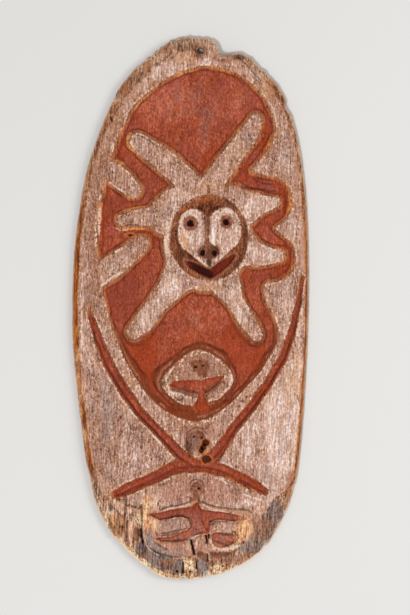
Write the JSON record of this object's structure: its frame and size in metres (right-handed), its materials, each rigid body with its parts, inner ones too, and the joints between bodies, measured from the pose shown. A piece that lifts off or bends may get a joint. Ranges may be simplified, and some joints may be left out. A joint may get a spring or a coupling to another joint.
{
  "type": "gope board",
  "caption": "Oval carved wooden spirit board with recessed red fields round a rayed figure with a face, hung by a hole in its head end.",
  "frame": {"origin": "on the flat back, under the middle of the board's box", "axes": "+Z out of the carved face, +Y along the board towards the hanging hole, +X to the right with the carved face seen from above and the hole at the far end"},
  "size_m": [0.4, 0.92, 0.024],
  "materials": {
    "painted_wood": "dry chalky lime white on raised wood and red ochre in the cut fields, bare brown wood on the walls and rim"
  },
  "bodies": {
    "root": {"carved_board": "painted_wood"}
  },
  "joints": []
}
